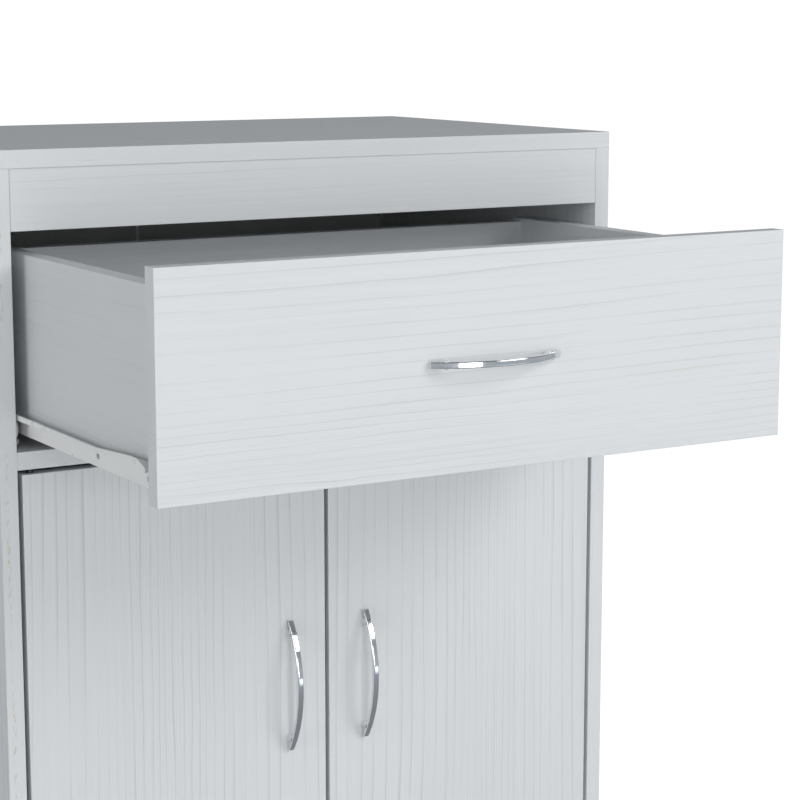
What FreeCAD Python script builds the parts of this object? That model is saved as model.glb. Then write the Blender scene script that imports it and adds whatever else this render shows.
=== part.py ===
import FreeCAD, Part
import math
import os

# Microwave stand: a carcass of white-faced 15 mm boards with one full-width drawer over
# a two-door cupboard.  Millimetres.  +Z is up, the front faces -Y and +X is to the
# right of someone who stands before it.  The origin is the middle of the footprint, on
# the floor.  The drawer is drawn pulled out to its stop and both doors are shut.

# ---------------------------------------------------------------- driving dimensions

# carcass
overall_width = 600.0
overall_depth = 400.0
overall_height = 890.0
board = 15.0
edge_radius = 0.6
rail_height = 50.0
drawer_opening = 179.0
kick_height = 60.0
kick_recess = 30.0

# floor glides under the side panels
glide_height = 5.0
glide_radius = 7.0
glide_inset = 30.0
glide_nail_radius = 1.1
glide_nail_length = 12.0

# back: two hardboard sheets held in the middle by an H-shaped plastic strip
back_sheet = 3.0
back_margin = 1.0
strip_flange = 1.0
strip_web = 1.0
strip_front_width = 3.0
strip_rear_width = 10.0
strip_play = 0.2

# drawer
drawer_side_gap = 2.0
drawer_top_gap = 3.5
drawer_bottom_gap = 4.0
drawer_travel = 268.5
drawer_box_length = 350.0
drawer_side_height = 147.5
drawer_side_lift = 12.3
drawer_back_drop = 3.0
drawer_sheet = 3.0
groove_depth = 6.0
groove_height = 10.0
groove_play = 0.2

# roller slides of folded steel
slide_clearance = 12.5
slide_steel = 1.0
slide_bend = 0.8
running_gap = 0.3
free_gap = 0.5

# the drawer's half: heights above the drawer side's lower edge, and lengths in turn
# from the drawer front: a bare tab, a sloping nose, a crest, a ramp and a long run
slide_ledge = 10.0
slide_flange_reach = 10.5
slide_run_height = 14.7
slide_crest_height = 19.1
slide_lip_height = 3.3
slide_tab_height = 9.7
slide_tab_length = 6.8
slide_nose_length = 13.6
slide_crest_length = 11.6
slide_ramp_length = 65.0
slide_corner = 4.0
slide_step_height = 3.7
slide_step = 2.5
slide_foot_length = 24.0
slide_foot_depth = 4.5

# the carcass's half
channel_setback = 17.0
channel_length = drawer_box_length
channel_floor_reach = 10.0
channel_lip = 2.5
channel_hook_reach = 8.0
channel_stop_overlap = 8.5

# nylon rollers on riveted studs
roller_width = 6.7
roller_edge_gap = 2.0
front_roller_radius = 10.0
front_roller_offset = 10.6
rear_roller_radius = 9.5
rear_roller_offset = 12.0
roller_bore_play = 0.05
roller_end_play = 0.1
roller_chamfer = 0.8
roller_dish_depth = 1.6
roller_dish_radius = 6.0
stud_radius = 2.5
stud_shoulder_radius = 3.6
stud_cap_radius = 4.2
stud_cap_height = 0.9

# doors
door_gap = 4.0
pivot_inset = 9.0
pin_radius = 3.0
pin_play = 0.05
pin_grip = 20.0
pin_collar_radius = 5.5
bush_radius = 5.0
bush_play = 0.1
bush_depth = 11.0
bush_flange_radius = 6.5
bush_flange = 1.0
bush_floor = 1.0

# bow handles
handle_length = 118.0
handle_pitch = 96.0
handle_projection = 22.5
handle_end_projection = 4.0
handle_end_thickness = 3.4
handle_middle_thickness = 4.5
handle_width = 5.5
handle_edge_radius = 1.3
handle_post_radius = 3.5
handle_screw_depth = 6.5
handle_screw_radius = 1.95
handle_door_inset = 36.0
handle_door_drop = 213.8

# adjustable shelf
shelf_height = 345.0
shelf_front_setback = 50.0
shelf_play = 0.8
shelf_pin_radius = 2.5
shelf_pin_depth = 9.0
shelf_pin_reach = 8.0
shelf_pin_lug = 3.0
shelf_pin_inset = 40.0
shelf_hole_step = 32.0

# cam joints and dowels between the boards
cam_radius = 7.5
cam_play = 0.15
cam_skin = 2.5
cam_reach = 24.0
cam_slot_length = 9.0
cam_slot_width = 1.6
cam_slot_depth = 2.0
bolt_radius = 3.0
bolt_grip = 11.0
dowel_radius = 4.0
dowel_length = 30.0
dowel_grip = 10.0
dowel_chamfer = 1.0
joint_play = 0.05
joint_inset = 60.0

# screws
slide_tab_screw = 20.0
slide_tab_screw_height = 6.1
slide_run_screw = 113.0
slide_run_screw_height = 7.9
slide_rear_screw = 50.0
channel_front_screw = 64.0
slide_screw_radius = 1.6
slide_screw_length = 10.0
slide_screw_head_radius = 2.8
channel_screw_radius = 1.8
channel_screw_length = 12.0
channel_screw_head_radius = 3.4
back_screw_radius = 2.2
back_screw_length = 38.0
back_screw_head_radius = 3.8
catch_screw_radius = 1.5
catch_screw_length = 25.0
strike_screw_length = 11.0
catch_screw_head_radius = 2.8
screw_proud = 0.2
machine_screw_head_radius = 4.2
machine_screw_head = 2.2
hole_play = 0.3

# magnetic catch, and the strike plates that it holds
catch_width = 44.0
catch_height = 15.0
catch_depth = 20.0
catch_gap = 0.3
magnet_width = 14.0
magnet_height = 7.0
magnet_depth = 9.0
magnet_inset = 5.0
strike_width = 16.0
strike_height = 21.0
strike_thickness = 1.0
strike_screw_drop = 16.0

# ---------------------------------------------------------------- derived places

half_width = overall_width / 2
front = -overall_depth / 2
rear = overall_depth / 2
side_face = half_width - board
strip_back = rear - strip_flange
carcass_rear = strip_back - back_sheet
shelf_rear = carcass_rear - strip_flange - strip_play

top_under = overall_height - board
opening_top = top_under - rail_height
divider_top = opening_top - drawer_opening
divider_under = divider_top - board
bottom_under = glide_height + kick_height
bottom_top = bottom_under + board

drawer_front_face = front - drawer_travel
drawer_box_front = drawer_front_face + board
drawer_box_rear = drawer_box_front + drawer_box_length
drawer_front_bottom = divider_top + drawer_bottom_gap
drawer_front_top = opening_top - drawer_top_gap
drawer_front_half = side_face - drawer_side_gap
drawer_face = side_face - slide_clearance
drawer_inner = drawer_face - board
drawer_side_bottom = divider_top + drawer_side_lift
drawer_side_top = drawer_side_bottom + drawer_side_height
drawer_sheet_bottom = drawer_side_bottom + groove_height

# the drawer's flange runs on the front roller, and the rear roller on the channel floor
flange_top = drawer_side_bottom + slide_run_height
flange_under = flange_top - slide_steel
slide_under = drawer_side_bottom - slide_steel
slide_web = drawer_face + slide_steel
channel_web = side_face - slide_steel
channel_front = front + channel_setback
channel_top = flange_under - free_gap
roller_face = side_face - roller_edge_gap
front_roller_y = channel_front + front_roller_offset
front_roller_z = flange_under - running_gap - front_roller_radius
rear_roller_y = drawer_box_rear - rear_roller_offset
rear_roller_z = channel_top - slide_steel - running_gap * 2 - rear_roller_radius
channel_floor = rear_roller_z - rear_roller_radius - running_gap

door_bottom = bottom_top + door_gap
door_top = divider_under - door_gap
door_hinge_edge = side_face - door_gap
door_free_edge = door_gap / 2
door_back = front + board
pivot_x = door_hinge_edge - pivot_inset
pivot_y = front + board / 2
handle_door_x = door_free_edge + handle_door_inset
handle_door_z = door_top - handle_door_drop
handle_drawer_z = (drawer_front_bottom + drawer_front_top) / 2

SIDES = {"left": -1, "right": 1}
UP, DOWN = FreeCAD.Vector(0, 0, 1), FreeCAD.Vector(0, 0, -1)
FORWARD, BACKWARD = FreeCAD.Vector(0, -1, 0), FreeCAD.Vector(0, 1, 0)

parts = {}


# ---------------------------------------------------------------- shared shapes


def vector(x, y, z):
    return FreeCAD.Vector(x, y, z)


def block(low, high):
    """A box between two corners, given as (x, y, z)."""
    size = [b - a for a, b in zip(low, high)]
    return Part.makeBox(*size, vector(*low))


def side_block(side, inner, outer, low, high):
    """A box on one side of the stand, from |x| inner to outer and (y, z) low to high."""
    low_x, high_x = sorted((side * inner, side * outer))
    return block((low_x, *low), (high_x, *high))


def rod(start, along, length, radius):
    """A round bar from start, length long in the direction along."""
    return Part.makeCylinder(radius, length, start, along)


def prism(points, along):
    """The closed outline through points, pushed along a vector."""
    wire = Part.makePolygon(list(points) + [points[0]])
    return Part.Face(wire).extrude(along)


def turned(profile, centre, along):
    """A solid of revolution: profile is (radius, height) pairs, along is its axis."""
    outline = [vector(radius, 0, height) for radius, height in profile]
    wire = Part.makePolygon(outline + [outline[0]])
    solid = Part.Face(wire).revolve(vector(0, 0, 0), UP, 360)
    solid.Placement = FreeCAD.Placement(centre, FreeCAD.Rotation(UP, along))
    return solid


def mirrored(shape):
    """The same piece for the other side of the stand."""
    return shape.mirror(vector(0, 0, 0), vector(1, 0, 0))


def edges_on(shape, axis, place):
    """The edges that lie wholly in the plane where axis (x, y or z) is at place."""
    found = []
    for edge in shape.Edges:
        if all(abs(getattr(v.Point, axis) - place) < 1e-6 for v in edge.Vertexes):
            found.append(edge)
    return found


def eased(shape, *planes):
    """The shape with its edges rounded where they lie in the given (axis, place) planes."""
    edges = []
    for axis, place in planes:
        for edge in edges_on(shape, axis, place):
            if not any(edge.isSame(other) for other in edges):
                edges.append(edge)
    return shape.makeFillet(edge_radius, edges)


def cut_from(name, tool):
    parts[name] = parts[name].cut(tool)


def group(shapes):
    """Like pieces kept together in one node, each a solid of its own."""
    return Part.makeCompound(shapes)


def pan_screw(seat, inward, radius, length, head_radius, head):
    """A screw whose flat-bottomed head bears on seat, and the hole that it needs."""
    cap = rod(seat, -inward, head, head_radius)
    shank = rod(seat, inward, length, radius)
    hole = rod(seat, inward, length + hole_play, radius + joint_play)
    return cap.fuse(shank).removeSplitter(), hole


def countersunk_screw(seat, inward, radius, length, head_radius):
    """A screw with its conical head let in at seat, and the hole that it needs."""
    solids = []
    for play in (0.0, joint_play):
        profile = [
            (0, -screw_proud),
            (head_radius - screw_proud + play, -screw_proud),
            (head_radius + play, 0),
            (radius + play, head_radius - radius),
            (radius + play, length + play),
            (0, length + play),
        ]
        solids.append(turned(profile, seat, inward))
    return solids


# ---------------------------------------------------------------- carcass boards


def make_carcass():
    for name, side in SIDES.items():
        panel = side_block(
            side, side_face, half_width, (front, glide_height), (carcass_rear, top_under)
        )
        parts[name + "_side_panel"] = eased(panel, ("y", front))

    top = block((-half_width, front, top_under), (half_width, carcass_rear, overall_height))
    parts["top_panel"] = eased(top, ("y", front), ("z", overall_height))

    rail = block((-side_face, front, opening_top), (side_face, front + board, top_under))
    parts["front_rail"] = eased(rail, ("y", front), ("z", opening_top))

    for name, under in (("drawer_divider", divider_under), ("bottom_panel", bottom_under)):
        shelf = block((-side_face, front, under), (side_face, shelf_rear, under + board))
        parts[name] = eased(shelf, ("y", front))

    kick_front = front + kick_recess
    parts["toe_kick"] = block(
        (-side_face, kick_front, glide_height), (side_face, kick_front + board, bottom_under)
    )


def make_back():
    """Two sheets nailed over the rear edges, and the strip that joins them."""
    sheet_edge = strip_web / 2
    for name, side in SIDES.items():
        parts["back_panel_" + name] = side_block(
            side,
            sheet_edge,
            half_width - back_margin,
            (carcass_rear, bottom_under + back_margin),
            (strip_back, overall_height - back_margin),
        )
    half_section = [
        (strip_front_width / 2, carcass_rear - strip_flange),
        (strip_front_width / 2, carcass_rear),
        (sheet_edge, carcass_rear),
        (sheet_edge, strip_back),
        (strip_rear_width / 2, strip_back),
        (strip_rear_width / 2, rear),
    ]
    section = half_section + [(-x, y) for x, y in reversed(half_section)]
    strip_bottom = bottom_under + back_margin
    outline = [vector(x, y, strip_bottom) for x, y in section]
    strip_length = top_under - back_margin / 2 - strip_bottom
    parts["back_joint_strip"] = prism(outline, vector(0, 0, strip_length))


def make_floor_glides():
    """Round plastic glides, each nailed into the lower edge of a side panel."""
    glides = []
    crown = glide_height / 3
    nail_top = glide_height + glide_nail_length
    profile = [
        (0, 0),
        (glide_radius - crown, 0),
        (glide_radius, crown),
        (glide_radius, glide_height),
        (glide_nail_radius, glide_height),
        (glide_nail_radius, nail_top),
        (0, nail_top),
    ]
    for name, side in SIDES.items():
        for y in (front + glide_inset, carcass_rear - glide_inset):
            foot = vector(side * (half_width - board / 2), y, 0)
            glides.append(turned(profile, foot, UP))
            hole = rod(foot, UP, nail_top + hole_play, glide_nail_radius + joint_play)
            cut_from(name + "_side_panel", hole)
    parts["floor_glides"] = group(glides)


# ---------------------------------------------------------------- adjustable shelf


def make_adjustable_shelf():
    shelf_front = front + shelf_front_setback
    half = side_face - shelf_play
    shelf = block(
        (-half, shelf_front, shelf_height),
        (half, shelf_rear - shelf_play, shelf_height + board),
    )
    parts["adjustable_shelf"] = eased(shelf, ("y", shelf_front))

    pins = []
    pin_z = shelf_height - shelf_pin_lug - shelf_pin_radius
    rows = (shelf_front + shelf_pin_inset, shelf_rear - shelf_pin_inset)
    for name, side in SIDES.items():
        outward = vector(side, 0, 0)
        for y in rows:
            mouth = vector(side * side_face, y, pin_z)
            shank = rod(mouth, outward, shelf_pin_depth, shelf_pin_radius)
            lug = side_block(
                side,
                side_face - shelf_pin_reach,
                side_face,
                (y - shelf_pin_radius, pin_z - shelf_pin_radius),
                (y + shelf_pin_radius, shelf_height),
            )
            pins.append(shank.fuse(lug).removeSplitter())
            for step in (-1, 0, 1):
                start = mouth + UP * (step * shelf_hole_step)
                depth = shelf_pin_depth + hole_play
                hole = rod(start, outward, depth, shelf_pin_radius + joint_play)
                cut_from(name + "_side_panel", hole)
    parts["shelf_pins"] = group(pins)


# ---------------------------------------------------------------- drawer box


def make_drawer_boards():
    sheet_top = drawer_sheet_bottom + drawer_sheet
    groove_bottom = drawer_sheet_bottom - groove_play / 2
    groove_top = sheet_top + groove_play / 2
    groove_front = drawer_box_front - groove_depth
    groove_half = drawer_inner + groove_depth
    groove = block(
        (-groove_half, groove_front, groove_bottom), (groove_half, drawer_box_rear, groove_top)
    )

    face = block(
        (-drawer_front_half, drawer_front_face, drawer_front_bottom),
        (drawer_front_half, drawer_box_front, drawer_front_top),
    )
    face = eased(face, ("y", drawer_front_face), ("y", drawer_box_front))
    parts["drawer_front"] = face.cut(groove)

    for name, side in SIDES.items():
        wall = side_block(
            side,
            drawer_inner,
            drawer_face,
            (drawer_box_front, drawer_side_bottom),
            (drawer_box_rear, drawer_side_top),
        )
        parts["drawer_" + name + "_side"] = eased(wall, ("z", drawer_side_top)).cut(groove)

    back_top = drawer_side_top - drawer_back_drop
    back = block(
        (-drawer_inner, drawer_box_rear - board, groove_top),
        (drawer_inner, drawer_box_rear, back_top),
    )
    parts["drawer_back"] = eased(back, ("z", back_top))

    sheet_half = groove_half - groove_play
    parts["drawer_bottom"] = block(
        (-sheet_half, groove_front + groove_play, drawer_sheet_bottom),
        (sheet_half, drawer_box_rear, sheet_top),
    )


# ---------------------------------------------------------------- roller slides


def slide_top_line():
    """(y, z) along the top of the drawer slide's flange, from its nose to its rear.

    The front roller drops in ahead of the crest, which draws the drawer shut.
    """
    nose = drawer_box_front + slide_tab_length
    crest_front = nose + slide_nose_length
    crest_rear = crest_front + slide_crest_length
    crest = drawer_side_bottom + slide_crest_height
    return [
        (nose, flange_top),
        (crest_front, crest),
        (crest_rear, crest),
        (crest_rear + slide_ramp_length, flange_top),
        (drawer_box_rear, flange_top),
    ]


def make_drawer_slide():
    """The left drawer slide: a ledge under the side, a web and a lipped running flange."""
    top_line = slide_top_line()
    nose = top_line[0][0]
    tab_top = drawer_side_bottom + slide_tab_height
    foot_under = rear_roller_z - slide_foot_depth
    foot_front = drawer_box_rear - slide_foot_length
    ledge_front = drawer_box_front + slide_step
    step_top = drawer_side_bottom + slide_step_height
    web_line = top_line + [
        (drawer_box_rear, foot_under),
        (foot_front, foot_under),
        (foot_front - (slide_under - foot_under), slide_under),
        (ledge_front, slide_under),
        (ledge_front, step_top),
        (drawer_box_front, step_top),
        (drawer_box_front, tab_top),
        (nose, tab_top),
    ]
    web = prism([vector(-slide_web, y, z) for y, z in web_line], vector(slide_steel, 0, 0))

    flange_edge = drawer_face + slide_flange_reach
    flange_line = top_line + [(y, z - slide_steel) for y, z in reversed(top_line)]
    flange_points = [vector(-flange_edge, y, z) for y, z in flange_line]
    flange = prism(flange_points, vector(slide_flange_reach, 0, 0))
    lip_line = top_line + [(y, z + slide_lip_height) for y, z in reversed(top_line)]
    lip_points = [vector(-flange_edge, y, z) for y, z in lip_line]
    flange = flange.fuse(prism(lip_points, vector(slide_steel, 0, 0)))
    corner = [
        vector(-flange_edge, drawer_box_rear, drawer_side_bottom),
        vector(-flange_edge + slide_corner, drawer_box_rear, drawer_side_bottom),
        vector(-flange_edge, drawer_box_rear - slide_corner, drawer_side_bottom),
    ]
    flange = flange.cut(prism(corner, UP * drawer_side_height))

    ledge = block(
        (-slide_web, ledge_front, slide_under),
        (-drawer_face + slide_ledge, drawer_box_rear, drawer_side_bottom),
    )
    slide = web.fuse([flange, ledge]).removeSplitter()
    folds = [
        edge
        for edge in edges_on(slide, "x", -drawer_face)
        if edge.BoundBox.ZMin > tab_top + edge_radius and edge.BoundBox.YLength > 1
    ]
    slide = slide.makeFillet(slide_bend, folds)
    shoulder = roller_face - roller_width - slide_web
    stud = make_stud(vector(-slide_web, rear_roller_y, rear_roller_z), vector(-1, 0, 0), shoulder)
    return slide.fuse(stud).removeSplitter()


def make_channel():
    """The left carcass slide: a lipped floor, a web and a hooked top flange.

    The hook is cut away over the front roller, and a tab bent down from it stops the
    rear roller when the drawer is pulled right out.
    """
    floor_under = channel_floor - slide_steel
    floor_edge = side_face - channel_floor_reach
    channel_rear = channel_front + channel_length
    section = [
        (side_face, floor_under),
        (side_face, channel_top),
        (channel_web, channel_top),
        (channel_web, channel_floor),
        (floor_edge + slide_steel, channel_floor),
        (floor_edge + slide_steel, channel_floor + channel_lip),
        (floor_edge, channel_floor + channel_lip),
        (floor_edge, floor_under),
    ]
    outline = [vector(-x, channel_front, z) for x, z in section]
    channel = prism(outline, vector(0, channel_length, 0))

    hook_front = front_roller_y + front_roller_radius + slide_corner
    hook_edge = side_face - channel_hook_reach
    hook_under = channel_top - slide_steel
    hook = block(
        (-channel_web, hook_front, hook_under), (-hook_edge, channel_rear, channel_top)
    )
    stop_rear = rear_roller_y - rear_roller_radius - running_gap
    stop = block(
        (-channel_web, stop_rear - slide_steel, channel_top - channel_stop_overlap),
        (-hook_edge, stop_rear, hook_under),
    )
    channel = channel.fuse([hook, stop]).removeSplitter()
    folds = [
        edge
        for edge in channel.Edges
        if edge.BoundBox.YLength > channel_length / 2
        and edge.BoundBox.ZMax < floor_under + edge_radius
    ]
    channel = channel.makeFillet(slide_bend, folds)

    corner = [
        vector(-floor_edge, channel_front, floor_under - slide_steel),
        vector(-floor_edge - slide_corner, channel_front, floor_under - slide_steel),
        vector(-floor_edge, channel_front + slide_corner, floor_under - slide_steel),
    ]
    channel = channel.cut(prism(corner, UP * (channel_lip + slide_steel * 3)))
    shoulder = channel_web - roller_face
    stud = make_stud(vector(-channel_web, front_roller_y, front_roller_z), vector(1, 0, 0), shoulder)
    return channel.fuse(stud).removeSplitter()


def make_stud(root, along, shoulder):
    """The stud riveted to a web at root: a shoulder, then a headed pin for the roller."""
    seat = shoulder - roller_end_play
    pin = shoulder + roller_width - roller_dish_depth + roller_end_play
    profile = [
        (0, 0),
        (stud_shoulder_radius, 0),
        (stud_shoulder_radius, seat),
        (stud_radius, seat),
        (stud_radius, pin),
        (stud_cap_radius, pin),
        (stud_cap_radius, pin + stud_cap_height),
        (0, pin + stud_cap_height),
    ]
    return turned(profile, root, along)


def make_roller(radius, root, along):
    """A nylon roller from root along its axis, dished to hide the stud's head."""
    bore = stud_radius + roller_bore_play
    dish = roller_width - roller_dish_depth
    profile = [
        (bore, 0),
        (radius - roller_chamfer, 0),
        (radius, roller_chamfer),
        (radius, roller_width - roller_chamfer),
        (radius - roller_chamfer, roller_width),
        (roller_dish_radius, roller_width),
        (roller_dish_radius, dish),
        (bore, dish),
    ]
    return turned(profile, root, along)


def make_slides():
    rear_root = vector(-(roller_face - roller_width), rear_roller_y, rear_roller_z)
    front_root = vector(-roller_face, front_roller_y, front_roller_z)
    made = {
        "drawer_slide": make_drawer_slide(),
        "cabinet_slide": make_channel(),
        "drawer_roller": make_roller(rear_roller_radius, rear_root, vector(-1, 0, 0)),
        "cabinet_roller": make_roller(front_roller_radius, front_root, vector(1, 0, 0)),
    }
    for name, shape in made.items():
        parts["left_" + name] = shape
        parts["right_" + name] = mirrored(shape)


def make_slide_screws():
    """Screws through the slides, their heads let in so that nothing catches on them."""
    tab_z = drawer_side_bottom + slide_tab_screw_height
    run_z = drawer_side_bottom + slide_run_screw_height
    slide_rows = (
        (drawer_box_front + slide_tab_screw, tab_z),
        (drawer_box_front + slide_run_screw, run_z),
        (drawer_box_rear - slide_rear_screw, tab_z),
    )
    channel_rear = channel_front + channel_length
    channel_rows = (
        channel_front + channel_front_screw,
        channel_front + channel_length / 2,
        channel_rear - slide_rear_screw,
    )
    channel_middle = (channel_floor + channel_top) / 2
    drawer_screws, channel_screws = [], []
    for name, side in SIDES.items():
        outward = vector(side, 0, 0)
        for y, z in slide_rows:
            seat = vector(side * slide_web, y, z)
            screw, hole = countersunk_screw(
                seat,
                -outward,
                slide_screw_radius,
                slide_screw_length,
                slide_screw_head_radius,
            )
            drawer_screws.append(screw)
            cut_from(name + "_drawer_slide", hole)
            cut_from("drawer_" + name + "_side", hole)
        for y in channel_rows:
            seat = vector(side * channel_web, y, channel_middle)
            screw, hole = countersunk_screw(
                seat,
                outward,
                channel_screw_radius,
                channel_screw_length,
                channel_screw_head_radius,
            )
            channel_screws.append(screw)
            cut_from(name + "_cabinet_slide", hole)
            cut_from(name + "_side_panel", hole)
    parts["drawer_slide_screws"] = group(drawer_screws)
    parts["cabinet_slide_screws"] = group(channel_screws)


# ---------------------------------------------------------------- doors


def make_doors():
    for name, side in SIDES.items():
        door = side_block(
            side, door_free_edge, door_hinge_edge, (front, door_bottom), (door_back, door_top)
        )
        parts[name + "_door"] = eased(door, ("y", front), ("y", door_back))


def make_door_pivots():
    """Steel pins in the doors' ends, turning in nylon bushes in the boards.

    The lower pins have a collar, which carries the door's weight on the bush's flange.
    """
    bore = pin_radius + pin_play
    sleeve = [
        (bore, 0),
        (bush_radius, 0),
        (bush_radius, bush_depth),
        (0, bush_depth),
        (0, bush_depth - bush_floor),
        (bore, bush_depth - bush_floor),
    ]
    flanged_sleeve = [
        (bore, -bush_flange),
        (bush_flange_radius, -bush_flange),
        (bush_flange_radius, 0),
        *sleeve[1:],
    ]
    ends = (
        ("bottom_panel", bottom_top, door_bottom, DOWN, flanged_sleeve),
        ("drawer_divider", divider_under, door_top, UP, sleeve),
    )
    bushes = []
    for name, side in SIDES.items():
        pins = []
        for carrier, board_face, door_end, away, bush in ends:
            mouth = vector(side * pivot_x, pivot_y, board_face)
            bushes.append(turned(bush, mouth, away))
            socket = rod(mouth, away, bush_depth + joint_play, bush_radius + bush_play)
            cut_from(carrier, socket)

            end = vector(side * pivot_x, pivot_y, door_end)
            reach = door_gap + bush_depth - bush_floor - hole_play
            pin = rod(end - away * pin_grip, away, pin_grip + reach, pin_radius)
            if carrier == "bottom_panel":
                collar = rod(end, away, door_gap - bush_flange, pin_collar_radius)
                pin = pin.fuse(collar).removeSplitter()
            pins.append(pin)
            cut_from(
                name + "_door", rod(end, -away, pin_grip + hole_play, pin_radius + joint_play)
            )
        parts[name + "_door_pins"] = group(pins)
    parts["pivot_bushes"] = group(bushes)


def make_catch():
    """A double magnetic catch under the divider, with a steel strike on each door."""
    strike_back = door_back + strike_thickness
    catch_front = strike_back + catch_gap
    catch_under = divider_under - catch_height
    half = catch_width / 2
    housing = block(
        (-half, catch_front, catch_under), (half, catch_front + catch_depth, divider_under)
    )
    housing = eased(housing, ("z", catch_under))

    magnet_low = (catch_under + door_top - magnet_height) / 2
    middle = magnet_inset + magnet_width / 2
    magnets, screws = [], []
    for name, side in SIDES.items():
        magnet = side_block(
            side,
            magnet_inset,
            magnet_inset + magnet_width,
            (catch_front, magnet_low),
            (catch_front + magnet_depth, magnet_low + magnet_height),
        )
        magnets.append(magnet)
        screw_y = catch_front + (magnet_depth + catch_depth) / 2
        seat = vector(side * middle, screw_y, catch_under)
        screw, hole = countersunk_screw(
            seat, UP, catch_screw_radius, catch_screw_length, catch_screw_head_radius
        )
        screws.append(screw)
        housing = housing.cut(magnet).cut(hole)
        cut_from("drawer_divider", hole)

        strike = side_block(
            side,
            middle - strike_width / 2,
            middle + strike_width / 2,
            (door_back, door_top - strike_height),
            (strike_back, door_top),
        )
        seat = vector(side * middle, strike_back, door_top - strike_screw_drop)
        screw, hole = countersunk_screw(
            seat, FORWARD, catch_screw_radius, strike_screw_length, catch_screw_head_radius
        )
        parts[name + "_strike_plate"] = strike.cut(hole)
        parts[name + "_strike_screw"] = screw
        cut_from(name + "_door", hole)
    parts["catch_housing"] = housing
    parts["catch_magnets"] = group(magnets)
    parts["catch_screws"] = group(screws)


# ---------------------------------------------------------------- bow handles


def arc_along_x(end, end_out, middle_out):
    """The arc in the plane z = 0 that stands out by -Y, from x = -end to x = end."""
    left, right = vector(-end, -end_out, 0), vector(end, -end_out, 0)
    return Part.Arc(left, vector(0, -middle_out, 0), right)


def arc_height(x, end, end_out, middle_out):
    """How far the arc from arc_along_x stands out at x."""
    rise = middle_out - end_out
    radius = (end**2 + rise**2) / (2 * rise)
    return middle_out - radius + math.sqrt(radius**2 - x**2)


def make_bow_handle():
    """A level handle that stands out along -Y from a face at y = 0."""
    end = handle_length / 2
    inner_end = handle_end_projection - handle_end_thickness
    inner_middle = handle_projection - handle_middle_thickness
    outer = arc_along_x(end, handle_end_projection, handle_projection)
    inner = arc_along_x(end, inner_end, inner_middle)
    left_end, right_end = [
        Part.LineSegment(vector(x, -handle_end_projection, 0), vector(x, -inner_end, 0))
        for x in (-end, end)
    ]
    wire = Part.Wire([c.toShape() for c in (outer, right_end, inner, left_end)])
    bar = Part.Face(wire).extrude(vector(0, 0, handle_width))
    bar.translate(DOWN * (handle_width / 2))
    long_edges = [edge for edge in bar.Edges if edge.Length > handle_pitch]
    handle = bar.makeFillet(handle_edge_radius, long_edges)

    post_x = handle_pitch / 2
    post_length = arc_height(post_x, end, inner_end, inner_middle) + handle_end_thickness / 2
    for x in (-post_x, post_x):
        foot = vector(x, 0, 0)
        handle = handle.fuse(rod(foot, FORWARD, post_length, handle_post_radius))
        bore = rod(foot, FORWARD, handle_screw_depth, handle_screw_radius + joint_play)
        handle = handle.cut(bore)
    return handle.removeSplitter()


def make_handle_screws():
    """The two machine screws of a level handle, through a board, and their holes."""
    screws, holes = [], []
    for x in (-handle_pitch / 2, handle_pitch / 2):
        screw, hole = pan_screw(
            vector(x, board, 0),
            FORWARD,
            handle_screw_radius,
            board + handle_screw_depth - hole_play,
            machine_screw_head_radius,
            machine_screw_head,
        )
        screws.append(screw)
        holes.append(hole)
    return group(screws), group(holes)


def make_handles():
    places = {
        "drawer": ("drawer_front", (0, drawer_front_face, handle_drawer_z), 0),
        "left_door": ("left_door", (-handle_door_x, front, handle_door_z), 90),
        "right_door": ("right_door", (handle_door_x, front, handle_door_z), 90),
    }
    for name, (carrier, place, turn) in places.items():
        handle = make_bow_handle()
        screws, holes = make_handle_screws()
        for shape in (handle, screws, holes):
            shape.Placement = FreeCAD.Placement(
                vector(*place), FreeCAD.Rotation(BACKWARD, turn)
            )
        parts[name + "_handle"] = handle
        parts[name + "_handle_screws"] = screws
        cut_from(carrier, holes)


# ---------------------------------------------------------------- cam joints


def cam_joint(bolted, cammed, point, along, outward):
    """Joins two boards where they meet at point, and gives the cam and its bolt.

    The bolt is screwed into the bolted board and reaches along into the other board,
    where a cam that is let in from the face on the outward side draws it tight.
    """
    centre = point + along * cam_reach
    face = centre + outward * (board / 2)
    cam_depth = board - cam_skin
    grip = rod(point, -along, bolt_grip + hole_play, bolt_radius + joint_play)
    way = rod(point, along, cam_reach, bolt_radius + joint_play)
    pocket = rod(face, -outward, cam_depth + joint_play, cam_radius + cam_play)
    cut_from(bolted, grip)
    cut_from(cammed, way.fuse(pocket))

    length = along * (cam_slot_length / 2)
    width = along.cross(outward) * (cam_slot_width / 2)
    corners = [face - length - width, face + length - width]
    corners += [face + length + width, face - length + width]
    slot = prism(corners, outward * -cam_slot_depth)
    cam = rod(face, -outward, cam_depth, cam_radius)
    bolt_way = rod(centre, -along, cam_reach, bolt_radius + joint_play)
    bolt = rod(point - along * bolt_grip, along, bolt_grip + cam_reach, bolt_radius)
    return cam.cut(slot).cut(bolt_way), bolt


def dowel_joint(first, second, point, along):
    """A beech dowel across the joint between two boards, longer in the second."""
    chamfered = dowel_radius - dowel_chamfer
    profile = [
        (0, 0),
        (chamfered, 0),
        (dowel_radius, dowel_chamfer),
        (dowel_radius, dowel_length - dowel_chamfer),
        (chamfered, dowel_length),
        (0, dowel_length),
    ]
    start = point - along * dowel_grip
    hole = rod(
        start - along * hole_play, along, dowel_length + hole_play * 2, dowel_radius + joint_play
    )
    cut_from(first, hole)
    cut_from(second, hole)
    return turned(profile, start, along)


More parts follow.
